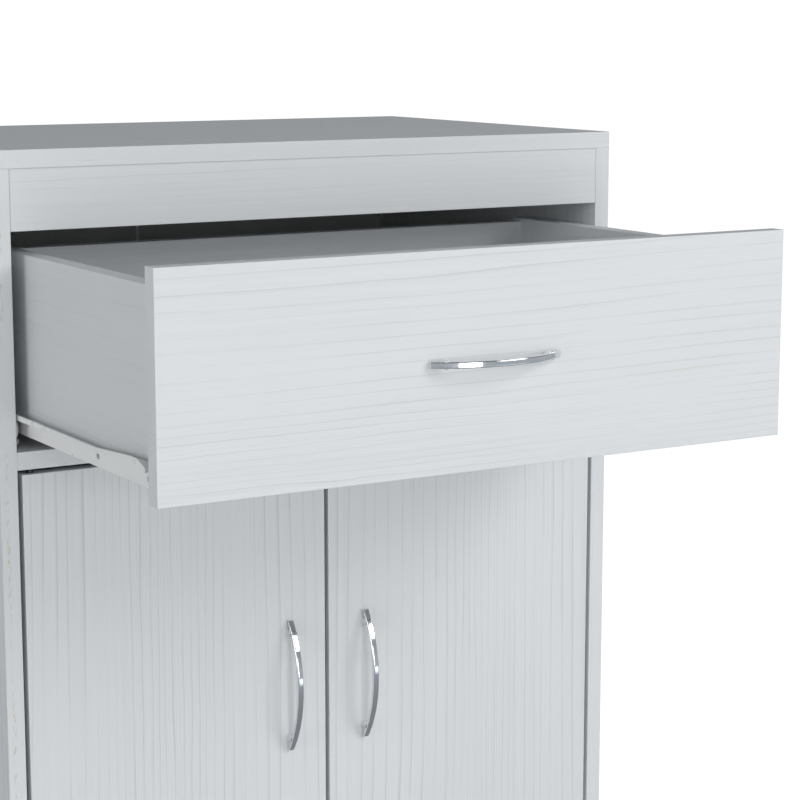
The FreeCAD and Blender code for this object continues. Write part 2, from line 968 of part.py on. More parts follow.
def make_carcass_joints():
    cams, dowels = [], []
    rows = (front + joint_inset, shelf_rear - joint_inset)
    middle_y = sum(rows) / 2
    rail_z = (opening_top + top_under) / 2
    kick_z = (glide_height + bottom_under) / 2
    for name, side in SIDES.items():
        panel = name + "_side_panel"
        inward = vector(-side, 0, 0)
        panel_x = side * (half_width - board / 2)
        shelves = (("drawer_divider", divider_under), ("bottom_panel", bottom_under))
        for y in rows:
            point = vector(panel_x, y, top_under)
            cams.append(cam_joint("top_panel", panel, point, DOWN, inward))
            for shelf, under in shelves:
                point = vector(side * side_face, y, under + board / 2)
                cams.append(cam_joint(panel, shelf, point, inward, DOWN))

        point = vector(panel_x, middle_y, top_under)
        dowels.append(dowel_joint("top_panel", panel, point, DOWN))
        for shelf, under in shelves:
            point = vector(side * side_face, middle_y, under + board / 2)
            dowels.append(dowel_joint(panel, shelf, point, inward))

        for piece, setback, z in (("front_rail", 0, rail_z), ("toe_kick", kick_recess, kick_z)):
            point = vector(side * side_face, front + setback + board / 2, z)
            cams.append(cam_joint(panel, piece, point, inward, BACKWARD))
    parts["cam_locks"] = group([cam for cam, bolt in cams])
    parts["cam_bolts"] = group([bolt for cam, bolt in cams])
    parts["wood_dowels"] = group(dowels)


def make_drawer_joints():
    """Cams hold the drawer's sides to its front; screws hold them to its back."""
    cams, dowels, screws = [], [], []
    low, middle, high = [
        drawer_side_bottom + drawer_side_height * share for share in (0.28, 0.53, 0.78)
    ]
    for name, side in SIDES.items():
        wall = "drawer_" + name + "_side"
        inward = vector(-side, 0, 0)
        wall_x = side * (drawer_face - board / 2)
        for z in (low, high):
            point = vector(wall_x, drawer_box_front, z)
            cams.append(cam_joint("drawer_front", wall, point, BACKWARD, inward))
            seat = vector(side * drawer_face, drawer_box_rear - board / 2, z)
            screw, hole = countersunk_screw(
                seat, inward, back_screw_radius, back_screw_length, back_screw_head_radius
            )
            screws.append(screw)
            cut_from(wall, hole)
            cut_from("drawer_back", hole)
        point = vector(wall_x, drawer_box_front, middle)
        dowels.append(dowel_joint("drawer_front", wall, point, BACKWARD))
    parts["drawer_cam_locks"] = group([cam for cam, bolt in cams])
    parts["drawer_cam_bolts"] = group([bolt for cam, bolt in cams])
    parts["drawer_dowels"] = group(dowels)
    parts["drawer_back_screws"] = group(screws)


# ---------------------------------------------------------------- build

make_carcass()
make_back()
make_floor_glides()
make_adjustable_shelf()
make_drawer_boards()
make_slides()
make_slide_screws()
make_doors()
make_door_pivots()
make_catch()
make_handles()
make_carcass_joints()
make_drawer_joints()

os.makedirs("parts", exist_ok=True)
for node, shape in parts.items():
    shape.exportStep("parts/" + node + ".step")
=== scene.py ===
import math

import bmesh
import bpy
from mathutils import Matrix, Vector


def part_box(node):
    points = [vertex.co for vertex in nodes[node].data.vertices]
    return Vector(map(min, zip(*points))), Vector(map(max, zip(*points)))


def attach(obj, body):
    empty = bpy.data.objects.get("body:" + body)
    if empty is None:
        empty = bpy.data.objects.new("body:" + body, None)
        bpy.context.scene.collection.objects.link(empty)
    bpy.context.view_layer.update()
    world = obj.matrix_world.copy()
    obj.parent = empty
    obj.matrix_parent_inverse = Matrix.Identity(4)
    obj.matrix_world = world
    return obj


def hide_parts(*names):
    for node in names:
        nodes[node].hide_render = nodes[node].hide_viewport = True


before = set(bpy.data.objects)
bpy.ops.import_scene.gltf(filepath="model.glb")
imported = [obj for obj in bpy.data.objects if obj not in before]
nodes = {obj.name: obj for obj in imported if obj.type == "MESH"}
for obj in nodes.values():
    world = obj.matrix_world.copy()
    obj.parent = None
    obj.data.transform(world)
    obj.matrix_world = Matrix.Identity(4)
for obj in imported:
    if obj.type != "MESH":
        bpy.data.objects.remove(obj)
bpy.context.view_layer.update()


# ---------------------------------------------------------------- room and camera
# A plain pale studio: a white floor, a white surround, and soft boxes in front of the
# stand, to its right and to its left.  The camera is a little above the worktop and to
# the left, and its long lens takes in the upper part.

CAMERA_PLACE = (-0.92108, -1.88293, 0.99066)
CAMERA_TURN = (math.radians(80.351), 0, math.radians(-30.6255))
LENS_MM = 100.345
SENSOR_MM = 36
NEAR_CLIP = 0.05
bpy.ops.object.camera_add(location=CAMERA_PLACE, rotation=CAMERA_TURN)
camera = bpy.context.object
camera.data.lens = LENS_MM
camera.data.sensor_width = SENSOR_MM
camera.data.clip_start = NEAR_CLIP
bpy.context.scene.camera = camera
bpy.context.scene.view_settings.view_transform = "Standard"


def add_node(tree, kind, inputs=None, **settings):
    """Adds a shader node.  An input is a plain value, or the socket that feeds it."""
    node = tree.nodes.new("ShaderNode" + kind)
    for name, value in settings.items():
        setattr(node, name, value)
    for key, value in (inputs or {}).items():
        if isinstance(value, bpy.types.NodeSocket):
            tree.links.new(value, node.inputs[key])
        else:
            node.inputs[key].default_value = value
    return node


def maths(tree, operation, first, second=0.0, third=0.0):
    """The result of a Math node."""
    inputs = {0: first, 1: second, 2: third}
    return add_node(tree, "Math", inputs, operation=operation).outputs[0]


def ranged(tree, value, low, high, low_result=0.0, high_result=1.0):
    """The value moved from one range to another, and held inside it."""
    inputs = {0: value, 1: low, 2: high, 3: low_result, 4: high_result}
    return add_node(tree, "MapRange", inputs).outputs[0]


# the surround has one level for matt surfaces, one for what shiny things mirror and one
# for the camera; the first two fade from the horizon upwards
SURROUND_WHITE = (1, 1, 1, 1)
SURROUND_SOFT = (0.97, 0.985, 1, 1)
SURROUND_MIRRORED = (0.90, 0.95, 1, 1)
SEEN_STRENGTH = 1.05

world = bpy.data.worlds.new("white_surround")
bpy.context.scene.world = world
world.use_nodes = True
tree = world.node_tree
tree.nodes.clear()
ray = add_node(tree, "LightPath").outputs
direction = add_node(tree, "TexCoord").outputs["Generated"]
height = add_node(tree, "SeparateXYZ", {0: direction}).outputs["Z"]
soft_level = ranged(tree, height, low=0.15, high=0.60, low_result=0.64, high_result=0.22)
soft_light = add_node(tree, "Background", {"Color": SURROUND_SOFT, "Strength": soft_level})
mirror_level = ranged(tree, height, low=0.0, high=0.5, low_result=0.48, high_result=0.20)
mirrored = add_node(tree, "Background", {"Color": SURROUND_MIRRORED, "Strength": mirror_level})
seen = add_node(tree, "Background", {"Color": SURROUND_WHITE, "Strength": SEEN_STRENGTH})
lighting = add_node(
    tree, "MixShader", {0: ray["Is Glossy Ray"], 1: soft_light.outputs[0], 2: mirrored.outputs[0]}
)
surround = add_node(
    tree, "MixShader", {0: ray["Is Camera Ray"], 1: lighting.outputs[0], 2: seen.outputs[0]}
)
add_node(tree, "OutputWorld", {"Surface": surround.outputs[0]})

# the camera sees the floor as half paint and half glow, shiny things mirror a painted reflection
# of a dimmer floor with two painted highlight pools on it, and from below the floor is clear
FLOOR_SIZE = 60
FLOOR_PAINT = (0.80, 0.80, 0.80, 1)
FLOOR_GLOW = (1, 1, 1, 1)
GLOW_STRENGTH = 1.86
GLOW_SHARE = 0.5
# the tint of the painted reflection, and the places of its two painted highlight pools
PAINTED_REFLECTION_TINT = (0.88, 0.94, 1, 1)
HIGHLIGHT_POOLS = ((-0.5, -4.2, 0), (1.6, -2.8, 0))

bpy.ops.mesh.primitive_plane_add(size=FLOOR_SIZE, location=(0, 0, 0))
floor = bpy.context.object
floor.name = "studio_floor"
floor_paint = bpy.data.materials.new("floor_white")
floor_paint.use_nodes = True
tree = floor_paint.node_tree
tree.nodes.clear()
ray = add_node(tree, "LightPath").outputs
geometry = add_node(tree, "NewGeometry").outputs
spot = geometry["Position"]
away = add_node(tree, "VectorMath", {0: spot}, operation="LENGTH").outputs["Value"]
lit = add_node(tree, "BsdfDiffuse", {"Color": FLOOR_PAINT})
glow = add_node(tree, "Emission", {"Color": FLOOR_GLOW, "Strength": GLOW_STRENGTH})
# painted reflection: shiny things see a glow that is dim near the stand and brighter further out
painted_reflection_level = ranged(tree, away, low=0.5, high=3.0, low_result=0.26, high_result=0.46)
# painted highlights: two bright pools of glow that shiny things see in place of the soft boxes'
# reflections
for highlight_pool in HIGHLIGHT_POOLS:
    gap = add_node(tree, "VectorMath", {0: spot, 1: highlight_pool}, operation="DISTANCE").outputs["Value"]
    highlight_level = ranged(tree, gap, low=0.7, high=1.25, low_result=1.0, high_result=0.0)
    painted_reflection_level = maths(tree, "ADD", painted_reflection_level, highlight_level)
painted_reflection = add_node(tree, "Emission", {"Color": PAINTED_REFLECTION_TINT, "Strength": painted_reflection_level})
share = maths(tree, "MULTIPLY", ray["Is Camera Ray"], GLOW_SHARE)
plain = add_node(tree, "MixShader", {0: share, 1: lit.outputs[0], 2: glow.outputs[0]})
mixed = add_node(
    tree, "MixShader", {0: ray["Is Glossy Ray"], 1: plain.outputs[0], 2: painted_reflection.outputs[0]}
)
clear = add_node(tree, "BsdfTransparent")
one_sided = add_node(
    tree, "MixShader", {0: geometry["Backfacing"], 1: mixed.outputs[0], 2: clear.outputs[0]}
)
add_node(tree, "OutputMaterial", {"Surface": one_sided.outputs[0]})
floor.data.materials.append(floor_paint)


def add_lamp(name, place, target, size, power):
    """A soft square lamp that faces its target."""
    bpy.ops.object.light_add(type="AREA", location=place)
    lamp = bpy.context.object
    lamp.name = name
    lamp.rotation_euler = (Vector(target) - Vector(place)).to_track_quat("-Z", "Y").to_euler()
    lamp.data.size = size
    lamp.data.energy = power


add_lamp("front_box", place=(-0.25, -3.6, 0.75), target=(0, -0.4, 0.7), size=1.1, power=25)
add_lamp("right_box", place=(2.2, -2.9, 2.5), target=(0, -0.3, 0.7), size=1.6, power=49)
add_lamp("left_box", place=(-3.2, -1.1, 0.95), target=(0, -0.3, 0.7), size=1.3, power=19)


# ---------------------------------------------------------------- white wood-grain boards
# Every board is 15 mm particle board faced with white melamine, printed and pressed with
# a fine straight grain that runs along the board.  Plain bands cover the edges that show,
# and the lower and rear edges that face nobody are bare chipboard.

WHITE = (0.750, 0.775, 0.792, 1)
GRAIN = (0.47, 0.50, 0.53, 1)
TAN = (0.60, 0.52, 0.42, 1)
CHIP_DARK = (0.36, 0.25, 0.15, 1)
CHIP_PALE = (0.66, 0.52, 0.35, 1)
EDGE_BAND = 0.0007
LINE_SPACING = 0.0125
HEART_REACH = 0.045
HEART_CROWDING = 0.040
CHIP_INSET = 0.0035

# the finer lines' spacing as a share of the others', how far the lines splay along the
# board, how narrow and how dark they are, how tan the print is off the lines, and how rough
# crumbled board is against a pressed line
FINE_SPACING = 0.31
GRAIN_SPLAY = 0.12
LINE_SHARPNESS = 13.0
FINE_SHARPNESS = 6.0
LINE_DARKNESS = 0.60
FINE_DARKNESS = 0.27
PORE_DARKNESS = 0.13
TAN_OFF_LINES = 0.10
CRUMB_RELIEF = 4.0
SEED_DRIFT = (1.0, 1.7, 0.6)

# how a board lies: the turn that brings its grain onto Z and its width onto X, and the
# numbers of the frame axes that its width and its grain follow
UPRIGHT = ((0, 0, 0), 0, 2)
UPRIGHT_SIDEWAYS = ((0, 0, math.radians(90)), 1, 2)
LEVEL = ((0, math.radians(90), 0), 2, 0)
LEVEL_SIDEWAYS = ((math.radians(90), 0, math.radians(90)), 2, 1)
FLAT = ((math.radians(-90), math.radians(-90), 0), 1, 0)


def noise(tree, place, across, along, detail=2.0):
    """Noise stretched along the grain, with its patches per metre given both ways."""
    stretched = add_node(tree, "Mapping", {0: place, "Scale": (across, across, along)})
    result = add_node(tree, "TexNoise", {0: stretched.outputs[0], "Scale": 1.0, "Detail": detail})
    return result.outputs[0]


def spread(tree, value, width, start):
    """The start, plus the value times the width."""
    return maths(tree, "MULTIPLY_ADD", value, width, start)


def blended(tree, amount, first, second):
    """Two colours mixed by an amount."""
    inputs = {0: amount, 6: first, 7: second}
    return add_node(tree, "Mix", inputs, data_type="RGBA").outputs[2]


def new_tree(name):
    """A new material, and its empty node tree."""
    material = bpy.data.materials.new(name)
    material.use_nodes = True
    material.node_tree.nodes.clear()
    return material, material.node_tree


def bump(tree, heights, strength, depth=0.0001, invert=False):
    """A surface normal pressed or raised by the heights."""
    inputs = {"Height": heights, "Strength": strength, "Distance": depth}
    return add_node(tree, "Bump", inputs, invert=invert).outputs[0]


def shaded(tree, **inputs):
    """Closes a material with one Principled shader."""
    sockets = {name.replace("_", " "): value for name, value in inputs.items()}
    shader = add_node(tree, "BsdfPrincipled", sockets)
    add_node(tree, "OutputMaterial", {"Surface": shader.outputs[0]})


def finish_node(name, material):
    """Gives a CAD node its finish."""
    nodes[name].data.materials.clear()
    nodes[name].data.materials.append(material)


def inset(tree, places, box, edge):
    """How far a point lies inside an edge of the box, given as an axis and +1 or -1."""
    axis, sign = edge
    low, high = box
    limit = (high if sign > 0 else low)[axis]
    return maths(tree, "MULTIPLY", maths(tree, "SUBTRACT", places[axis], limit), -sign)


def growth_lines(tree, axes, shifted, spacing, heart):
    """The dark lines of the grain, and the finer ones round its heart, from 0 to 1.

    They waver, stand unevenly about one spacing apart, and crowd near the heart.
    """
    waver = spread(tree, noise(tree, shifted, across=8, along=2.2), width=0.014, start=-0.007)
    uneven = spread(tree, noise(tree, shifted, across=42, along=0.9), width=0.016, start=-0.008)
    across = maths(tree, "ADD", maths(tree, "ADD", axes["X"], waver), uneven)
    splay = spread(tree, axes["Z"], width=GRAIN_SPLAY, start=1.0)
    off_heart = maths(tree, "MULTIPLY", maths(tree, "SUBTRACT", across, heart), splay)
    crowd = maths(tree, "TANH", maths(tree, "DIVIDE", off_heart, HEART_REACH))
    ring = maths(tree, "MULTIPLY_ADD", crowd, HEART_CROWDING, off_heart)
    near_heart = maths(tree, "SUBTRACT", 1.0, maths(tree, "MULTIPLY", crowd, crowd))
    ripple = spread(tree, noise(tree, shifted, across=60, along=16), width=0.007, start=-0.0035)
    ring = maths(tree, "MULTIPLY_ADD", ripple, near_heart, ring)
    phase = maths(tree, "FRACT", maths(tree, "DIVIDE", ring, spacing))
    patchy = noise(tree, shifted, across=34, along=5)
    fading = ranged(tree, patchy, low=0.36, high=0.60, low_result=0.12)
    line = maths(tree, "MULTIPLY", maths(tree, "POWER", phase, LINE_SHARPNESS), fading)
    fine_phase = maths(tree, "FRACT", maths(tree, "DIVIDE", ring, spacing * FINE_SPACING))
    fine_line = maths(tree, "MULTIPLY", maths(tree, "POWER", fine_phase, FINE_SHARPNESS), near_heart)
    return line, fine_line


def within_bands(tree, axes, size, width_axis, grain_axis):
    """1 on the printed face and 0 on the edge bands round it."""
    inside = 1.0
    for socket, axis in (("X", width_axis), ("Z", grain_axis)):
        reach = size[axis] / 2 - EDGE_BAND
        near = maths(tree, "LESS_THAN", maths(tree, "ABSOLUTE", axes[socket]), reach)
        inside = maths(tree, "MULTIPLY", inside, near)
    return inside


def printed_colour(tree, shifted, line, fine_line, pores, strength):
    """The print: lines and pores over fine streaks and slow clouds, warmer in places."""
    streaks = spread(tree, noise(tree, shifted, across=230, along=3.5), width=0.24, start=-0.12)
    clouds = spread(tree, noise(tree, shifted, across=15, along=2.5), width=0.16, start=-0.08)
    amount = maths(tree, "MULTIPLY_ADD", line, LINE_DARKNESS * strength, streaks)
    amount = maths(tree, "MULTIPLY_ADD", fine_line, FINE_DARKNESS * strength, amount)
    amount = maths(tree, "MULTIPLY_ADD", pores, PORE_DARKNESS * strength, amount)
    amount = add_node(tree, "Clamp", {0: maths(tree, "ADD", amount, clouds)}).outputs[0]
    tanned = noise(tree, shifted, across=24, along=4)
    warm = ranged(tree, tanned, low=0.56, high=0.74, high_result=0.55)
    warm = maths(tree, "MULTIPLY", warm, maths(tree, "ADD", line, TAN_OFF_LINES))
    return blended(tree, warm, blended(tree, amount, WHITE, GRAIN), TAN)


def front_chips(tree, place, places, low):
    """Small chips along the front edge, from 0 to 1, that wander near the outer face."""
    front = maths(tree, "LESS_THAN", places["Y"], low.y + EDGE_BAND)
    wander = noise(tree, place, across=1, along=9)
    drift = spread(tree, wander, width=0.004, start=low.x + CHIP_INSET)
    off_line = maths(tree, "ABSOLUTE", maths(tree, "SUBTRACT", places["X"], drift))
    band = ranged(tree, off_line, low=0.0004, high=0.0022, low_result=1.0, high_result=0.0)
    flecks = noise(tree, place, across=700, along=130, detail=3.0)
    chips = ranged(tree, flecks, low=0.50, high=0.60, high_result=0.75)
    patches = ranged(tree, noise(tree, place, across=1, along=14), low=0.42, high=0.55)
    chips = maths(tree, "MULTIPLY", maths(tree, "MULTIPLY", chips, patches), band)
    return maths(tree, "MULTIPLY", chips, front)


def grain_board(
    name, lie, seed, spacing=LINE_SPACING, heart=0.0, strength=1.0, raw=(), joints=(), worn=False
):
    """White melamine on a CAD board.

    An edge is given as an axis and +1 or -1: raw lists the bare ones, and joints those
    that meet another board, darkened there with painted shade and dust.  A worn board is chipped
    along its front.
    """
    box = low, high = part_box(name)
    turn, width_axis, grain_axis = lie
    material, tree = new_tree(name + "_melamine")
    place = add_node(tree, "TexCoord").outputs["Object"]
    places = add_node(tree, "SeparateXYZ", {0: place}).outputs
    middle = (low + high) / 2
    centred = add_node(tree, "VectorMath", {0: place, 1: middle}, operation="SUBTRACT").outputs[0]
    local = add_node(tree, "Mapping", {0: centred, "Rotation": turn}).outputs[0]
    axes = add_node(tree, "SeparateXYZ", {0: local}).outputs
    shift = [seed * drift for drift in SEED_DRIFT]
    shifted = add_node(tree, "VectorMath", {0: local, 1: shift}).outputs[0]

    inside = within_bands(tree, axes, high - low, width_axis, grain_axis)
    line, fine_line = growth_lines(tree, axes, shifted, spacing, heart)
    line = maths(tree, "MULTIPLY", line, inside)
    fine_line = maths(tree, "MULTIPLY", fine_line, inside)
    pores = ranged(tree, noise(tree, shifted, across=1300, along=46), low=0.60, high=0.74)
    colour = printed_colour(tree, shifted, line, fine_line, pores, strength)
    pressed = spread(tree, pores, width=0.5, start=line)
    gloss = spread(tree, pressed, width=0.12, start=0.44)

    for edge in raw:
        crumbs = noise(tree, place, across=420, along=420, detail=3.0)
        flake = blended(tree, ranged(tree, crumbs, low=0.35, high=0.65), CHIP_DARK, CHIP_PALE)
        depth = inset(tree, places, box, edge)
        bare = ranged(tree, depth, low=0.0003, high=0.0006, low_result=1.0, high_result=0.0)
        colour = blended(tree, bare, colour, flake)
        rough = maths(tree, "MULTIPLY", crumbs, bare)
        pressed = maths(tree, "MULTIPLY_ADD", rough, CRUMB_RELIEF, pressed)
        gloss = spread(tree, bare, width=0.4, start=gloss)
    # painted shade and dust: the face darkens towards the grain colour within a millimetre of each
    # edge that meets another board
    for edge in joints:
        depth = inset(tree, places, box, edge)
        shade_and_dust = ranged(tree, depth, low=0.0004, high=0.0010, low_result=0.55, high_result=0.0)
        colour = blended(tree, shade_and_dust, colour, GRAIN)
    if worn:
        colour = blended(tree, front_chips(tree, place, places, low), colour, TAN)

    relief = bump(tree, pressed, strength=0.3, invert=True)
    shaded(tree, Base_Color=colour, Roughness=gloss, Normal=relief)
    finish_node(name, material)


LOWER_EDGE = (2, -1)
UPPER_EDGE = (2, 1)
REAR_EDGE = (1, 1)
BOTH_ENDS = ((0, -1), (0, 1))
grain_board("left_side_panel", UPRIGHT_SIDEWAYS, seed=1.3, raw=(LOWER_EDGE, REAR_EDGE), worn=True)
grain_board("right_side_panel", UPRIGHT_SIDEWAYS, seed=2.3, raw=(LOWER_EDGE, REAR_EDGE))
grain_board("top_panel", FLAT, seed=3.1, raw=(REAR_EDGE,))
grain_board(
    "front_rail",
    LEVEL,
    seed=4.6,
    spacing=0.0105,
    heart=-0.012,
    strength=0.4,
    joints=(UPPER_EDGE, *BOTH_ENDS),
)
grain_board("drawer_divider", FLAT, seed=5.2, raw=(REAR_EDGE,))
grain_board("bottom_panel", FLAT, seed=6.4, raw=(REAR_EDGE,))
grain_board("toe_kick", LEVEL, seed=7.7, raw=(LOWER_EDGE,))
grain_board("adjustable_shelf", FLAT, seed=8.9, raw=(REAR_EDGE,))


# ---------------------------------------------------------------- back sheets
# The back is two 3 mm hardboard sheets, foiled inside and bare brown outside, that meet in a white
# extruded strip and are nailed over the rear edges of the boards.  The foil is painted pale grey,
# darker than the white boards, as painted shade for the dim inside of the cabinet.

FIBRE_DARK = (0.17, 0.095, 0.05, 1)
FIBRE_PALE = (0.33, 0.20, 0.11, 1)
FIBRE_STAIN = (0.24, 0.13, 0.065, 1)
SHADED_FOIL_DARK = (0.44, 0.45, 0.455, 1)
SHADED_FOIL_PALE = (0.50, 0.51, 0.515, 1)
FOIL_DEPTH = 0.0002


def hardboard(name, axis, bare_sign):
    """Hardboard whose foil is painted pale grey as painted shade, but for a brown face on the bare
    side (0 for none).
    """
    box = low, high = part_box(name)
    material, tree = new_tree(name + "_hardboard")
    place = add_node(tree, "TexCoord").outputs["Object"]
    places = add_node(tree, "SeparateXYZ", {0: place}).outputs
    depth = inset(tree, places, box, (axis, bare_sign))
    bare_depth = abs(bare_sign) * (high - low)[axis] - FOIL_DEPTH
    bare = maths(tree, "LESS_THAN", depth, bare_depth)
    fibres = noise(tree, place, across=900, along=900, detail=4.0)
    mottle = noise(tree, place, across=14, along=14, detail=3.0)
    brown = blended(tree, ranged(tree, fibres, low=0.3, high=0.7), FIBRE_DARK, FIBRE_PALE)
    stained = ranged(tree, mottle, low=0.3, high=0.8, high_result=0.35)
    brown = blended(tree, stained, brown, FIBRE_STAIN)
    # painted shade: the foil's pale grey, darker than the white boards, stands in for the shade
    # inside the cabinet and under the drawer
    shaded_foil = blended(tree, mottle, SHADED_FOIL_DARK, SHADED_FOIL_PALE)
    colour = blended(tree, bare, shaded_foil, brown)
    gloss = spread(tree, bare, width=0.25, start=0.48)
    shaded(tree, Base_Color=colour, Roughness=gloss, Normal=bump(tree, fibres, strength=0.25))
    finish_node(name, material)


hardboard("back_panel_left", axis=1, bare_sign=1)
hardboard("back_panel_right", axis=1, bare_sign=1)

PLASTIC_DARK = (0.84, 0.85, 0.85, 1)
PLASTIC_PALE = (0.90, 0.905, 0.90, 1)
material, tree = new_tree("white_extruded_plastic")
place = add_node(tree, "TexCoord").outputs["Object"]
drawn = noise(tree, place, across=500, along=6)
colour = blended(tree, drawn, PLASTIC_DARK, PLASTIC_PALE)
gloss = ranged(tree, drawn, low=0.3, high=0.7, low_result=0.30, high_result=0.42)
shaded(tree, Base_Color=colour, Roughness=gloss, Normal=bump(tree, drawn, strength=0.12))
finish_node("back_joint_strip", material)


# ---------------------------------------------------------------- back nails
# Short wire nails with flat round heads, driven through the sheets about every 100 mm
# into the rear edges of the sides, the top, the divider and the bottom.

MARK_GLOSS = 0.20


def dull_metal(name, dark, pale, roughness):
    """Plated, blackened or cast metal with a faint cloudy tone and fine marks."""
    material, tree = new_tree(name)
    place = add_node(tree, "TexCoord").outputs["Object"]
    cloud = noise(tree, place, across=160, along=160, detail=3.0)
    marks = noise(tree, place, across=2600, along=500, detail=2.0)
    colour = blended(tree, cloud, (*dark, 1), (*pale, 1))
    gloss = spread(tree, marks, width=MARK_GLOSS, start=roughness - MARK_GLOSS / 2)
    relief = bump(tree, marks, strength=0.15, depth=0.00005)
    shaded(tree, Base_Color=colour, Metallic=1.0, Roughness=gloss, Normal=relief)
    return material


zinc_steel = dull_metal(
    "zinc_plated_steel", dark=(0.52, 0.54, 0.56), pale=(0.70, 0.71, 0.70), roughness=0.36
)


def move_mesh(piece, matrix):
    """Moves a piece's mesh, so that its object stays at the origin."""
    piece.data.transform(matrix)
    piece.data.update()


def copies_joined(template, matrices, name):
    """One object of copies of the template, one for each matrix; the template goes."""
    copies = []
    for matrix in matrices:
        copy = template.copy()
        copy.data = template.data.copy()
        bpy.context.collection.objects.link(copy)
        move_mesh(copy, matrix)
        copies.append(copy)
    bpy.data.objects.remove(template)
    bpy.ops.object.select_all(action="DESELECT")
    for copy in copies:
        copy.select_set(True)
    joined = copies[0]
    bpy.context.view_layer.objects.active = joined
    if len(copies) > 1:
        bpy.ops.object.join()
    joined.name = name
    joined.data.name = name
    return joined


def lathe_blank(name, profile, steps):
    """A closed piece turned about Z from (radius, height) points, with flat ends."""
    bpy.ops.object.select_all(action="DESELECT")
    bpy.ops.mesh.primitive_circle_add(vertices=steps, radius=profile[0][0], fill_type="NGON")
    piece = bpy.context.object
    piece.name = name
    move_mesh(piece, Matrix.Translation((0, 0, profile[0][1])))
    bpy.ops.object.mode_set(mode="EDIT")
    bpy.ops.mesh.select_all(action="SELECT")
    for (radius, height), (before, base) in zip(profile[1:], profile):
        bpy.ops.mesh.extrude_region_move(TRANSFORM_OT_translate={"value": (0, 0, height - base)})
        ratio = radius / before
        bpy.ops.transform.resize(value=(ratio, ratio, 1), center_override=(0, 0, height))
    bpy.ops.mesh.select_all(action="SELECT")
    bpy.ops.mesh.normals_make_consistent(inside=False)
    bpy.ops.object.mode_set(mode="OBJECT")
    return piece


NAIL_HEAD = 0.0019
NAIL_CROWN = 0.8
NAIL_SHANK = 0.0007
NAIL_TIP = 0.2
NAIL_POINT = 0.002
NAIL_LENGTH = 0.014
HEAD_UNDER = 0.00005
HEAD_RIM = 0.00035
HEAD_TOP = 0.00055
NAIL_SIDES = 16
NAIL_PITCH = 0.1
END_MARGIN = 0.03
SEAM_MARGIN = 0.03
SIDE_MARGIN = 0.06
nail = lathe_blank(
    "back_nail",
    (
        (NAIL_SHANK * NAIL_TIP, -NAIL_LENGTH),
        (NAIL_SHANK, -NAIL_LENGTH + NAIL_POINT),
        (NAIL_SHANK, 0.0),
        (NAIL_HEAD, HEAD_UNDER),
        (NAIL_HEAD, HEAD_RIM),
        (NAIL_HEAD * NAIL_CROWN, HEAD_TOP),
    ),
    NAIL_SIDES,
)
back_low, back_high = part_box("back_panel_left")
sheet_face = back_high.y


def evenly(first, last, pitch):
    """Places from first to last, no further apart than the pitch."""
    gaps = math.ceil((last - first) / pitch)
    return [first + (last - first) * step / gaps for step in range(gaps + 1)]


nail_places = []
for name in ("left_side_panel", "right_side_panel"):
    low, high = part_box(name)
    for height in evenly(back_low.z + END_MARGIN, back_high.z - END_MARGIN, NAIL_PITCH):
        nail_places.append(((low.x + high.x) / 2, height))
for name in ("top_panel", "drawer_divider", "bottom_panel"):
    low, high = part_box(name)
    for across in evenly(SEAM_MARGIN, high.x - SIDE_MARGIN, NAIL_PITCH):
        for side in (-1, 1):
            nail_places.append((side * across, (low.z + high.z) / 2))
turned_back = Matrix.Rotation(math.radians(-90), 4, "X")
nails = copies_joined(
    nail,
    [Matrix.Translation((x, sheet_face, z)) @ turned_back for x, z in nail_places],
    "back_nails",
)
nails.data.materials.append(zinc_steel)
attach(nails, "cabinet")


# ---------------------------------------------------------------- drawer box
# The drawer is a box of the same boards; its hardboard bottom is foiled on both faces
# and slides into grooves.

grain_board("drawer_front", LEVEL, seed=11.9, spacing=0.0115, heart=-0.075, strength=0.85)
grain_board("drawer_left_side", LEVEL_SIDEWAYS, seed=12.9, strength=0.25, raw=(LOWER_EDGE,))
grain_board("drawer_right_side", LEVEL_SIDEWAYS, seed=13.9, strength=0.25, raw=(LOWER_EDGE,))
grain_board("drawer_back", LEVEL, seed=14.9, strength=0.25, raw=(LOWER_EDGE,))
hardboard("drawer_bottom", axis=2, bare_sign=0)


# ---------------------------------------------------------------- doors
# Two plain doors of the same board, with the grain upright and every edge banded.  They
# swing on steel pins in their upper and lower edges.

grain_board("left_door", UPRIGHT, seed=17.7, heart=-0.015, strength=1.15)
grain_board("right_door", UPRIGHT, seed=18.7, spacing=0.0135, heart=0.03, strength=1.15)


# ---------------------------------------------------------------- handles
# Three equal bow handles of die-cast zinc, polished and chrome plated, each held by two
# screws from behind.

CHROME_DARK = (0.78, 0.79, 0.81, 1)
CHROME_PALE = (0.86, 0.87, 0.885, 1)
material, tree = new_tree("bright_chrome")
place = add_node(tree, "TexCoord").outputs["Object"]
wiped = noise(tree, place, across=120, along=120, detail=3.0)
ripples = noise(tree, place, across=60, along=60, detail=1.0)
colour = blended(tree, wiped, CHROME_DARK, CHROME_PALE)
gloss = ranged(tree, wiped, low=0.35, high=0.75, low_result=0.05, high_result=0.11)
relief = bump(tree, ripples, strength=0.1)
shaded(tree, Base_Color=colour, Metallic=1.0, Roughness=gloss, Normal=relief)
for name in ("drawer_handle", "left_door_handle", "right_door_handle"):
    finish_node(name, material)


# ---------------------------------------------------------------- roller slides
# Four rails of 1 mm steel, folded and powder coated white, with a slight orange peel.  Two
# are screwed to the carcass and two run on rollers under the drawer's sides.

